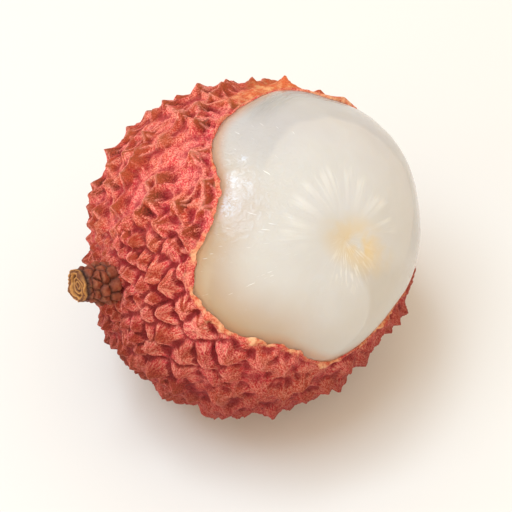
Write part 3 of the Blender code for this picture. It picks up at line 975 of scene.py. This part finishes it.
knob_randoms = np.random.default_rng(5)
knob_spots = knob_places(knob_randoms)
knob_size = knob_randoms.uniform(0.5, 1.1, len(knob_spots))
stalk_profile = along_line(STALK_PROFILE, np.arange(1, STALK_ROWS) / STALK_ROWS)
stalk_turn = math.tau * np.arange(STALK_COLUMNS) / STALK_COLUMNS
stalk_ring = np.stack([np.cos(stalk_turn), np.sin(stalk_turn), 0 * stalk_turn], axis=-1)
upright = stalk_profile[:, None, :1] * stalk_ring[None] + stalk_profile[:, None, 1:] * np.array([0, 0, 1.0])
stalk_points, stalk_values = stalk_skin(upright.reshape(-1, 3), knob_spots, knob_size)
end_middle, foot_middle = on_fruit(np.array([[0, 0, STALK_PROFILE[0, 1]], [0, 0, STALK_PROFILE[-1, 1]]]))
pole_values = {"knob": [0, 0], "end": [1, 0], "growth": [0, 0]}
stalk_values = {key: np.append(value, pole_values[key]) for key, value in stalk_values.items()}
stalk_rings = on_fruit(stalk_points).reshape(STALK_ROWS - 1, STALK_COLUMNS, 3)
stalk = closed_skin("lychee_stalk_stub", stalk_rings, end_middle, foot_middle, stalk_values)

# Dry wood and bark: matt brown knobs with dark gaps, and paler growth rings where it broke.
stalk_look, place, on_stalk = skin_material("lychee stalk, dry woody", stalk_values)
wood_grain = {"Vector": place, "Scale": 2.2 / MM, "Detail": 5.0, "Roughness": 0.65}
wood_grain = add_node(stalk_look, "TexNoise", wood_grain)
blotches = add_node(stalk_look, "TexNoise", {"Vector": place, "Scale": 0.7 / MM, "Detail": 3.0})
rings = {"rings": ("#BE8444", "MIX", (on_stalk["growth"], -0.4, 0.9, 0, 1))}
wood_colour, _ = painted(stalk_look, colour("#6A3814"), rings)
stalk_coats = {
    "knobs": ("#8A3C1E", "MIX", (on_stalk["knob"], 0, 1, 0, 1)),
    "blotches": ("#702810", "MIX", (blotches, 0.4, 0.65, 0, 0.5)),
    "broken end": (wood_colour, "MIX", (on_stalk["end"], 0, 1, 0, 1)),
    "flecks": ("#C08A58", "MIX", (wood_grain, 0.5, 0.75, 0, 0.25)),
}
stalk_colour, _ = painted(stalk_look, colour("#260A04"), stalk_coats)
rough = add_node(stalk_look, "Bump", {"Height": wood_grain, "Strength": 0.7, "Distance": 0.12 * MM})
dry_wood = {"Base Color": stalk_colour, "Roughness": 0.7, "Normal": rough}
shader = add_node(stalk_look, "BsdfPrincipled", dry_wood)
add_node(stalk_look, "OutputMaterial", {"Surface": shader})
stalk.data.materials.append(stalk_look)

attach(stalk, "root")
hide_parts("stalk_stub")


# ---------------------------------------- table, light, camera
# A plain cream table top under soft studio light, seen from above and in front.

TABLE_HALF = 2.0
CAMERA_ELEVATION = math.radians(50)
CAMERA_DISTANCE = 151.7 * MM
CAMERA_SHIFT = (0.004883, -0.013672)  # as shares of the picture's width, to the right and up

floor_mesh = bpy.data.meshes.new("table_top")
corners = [(x * TABLE_HALF, y * TABLE_HALF, 0) for x, y in ((-1, -1), (1, -1), (1, 1), (-1, 1))]
floor_mesh.from_pydata(corners, [], [(0, 1, 2, 3)])
floor = bpy.data.objects.new("table_top", floor_mesh)
bpy.context.scene.collection.objects.link(floor)

# Matt card: it takes soft shadows, and mirrors nothing.
floor_look = new_material("matt cream card")
shader = add_node(floor_look, "BsdfPrincipled", {"Base Color": colour("#DEDAD6"), "Roughness": 0.9})
add_node(floor_look, "OutputMaterial", {"Surface": shader})
floor.data.materials.append(floor_look)

# Warm light from all round fills the shadows.
world = bpy.data.worlds.new("studio")
world.use_nodes = True
world.node_tree.nodes.clear()
all_round = add_node(world, "Background", {"Color": (1.0, 0.868, 0.673, 1.0), "Strength": 1.06})
add_node(world, "OutputWorld", {"Surface": all_round})
bpy.context.scene.world = world

# The main light stands high on the left, a wide one low in front on the left, and a small one high up
# gives the flesh its glint: name, direction, distance, size, power and colour.
for name, light_side, distance, size, power, tint in [
    ("softbox", (-0.31, -0.14, 0.94), 0.45, 0.26, 1.3, (0.52, 0.75, 1.0)),
    ("front_softbox", (-0.75, -0.60, 0.28), 0.8, 0.5, 1.4, (1.0, 0.97, 0.77)),
    ("small_softbox", (-0.22, 0.10, 0.97), 0.45, 0.10, 0.3, (0.75, 0.88, 1.0)),
]:
    light = bpy.data.objects.new(name, bpy.data.lights.new(name, "AREA"))
    bpy.context.scene.collection.objects.link(light)
    light.data.size = size
    light.data.energy = power
    light.data.color = tint
    light.location = fruit_middle + distance * unit(light_side)
    light.rotation_euler = (Vector(fruit_middle) - light.location).to_track_quat("-Z", "Y").to_euler()

camera = bpy.data.objects.new("camera", bpy.data.cameras.new("camera"))
bpy.context.scene.collection.objects.link(camera)
camera.data.lens = 100
camera.data.sensor_width = 36
camera.data.clip_start = 0.005
camera.data.shift_x, camera.data.shift_y = CAMERA_SHIFT
to_camera = np.array([0, -math.cos(CAMERA_ELEVATION), math.sin(CAMERA_ELEVATION)])
camera.location = fruit_middle + to_camera * CAMERA_DISTANCE
camera.rotation_euler = (math.pi / 2 - CAMERA_ELEVATION, 0, 0)
bpy.context.scene.camera = camera
bpy.context.scene.view_settings.view_transform = "Standard"
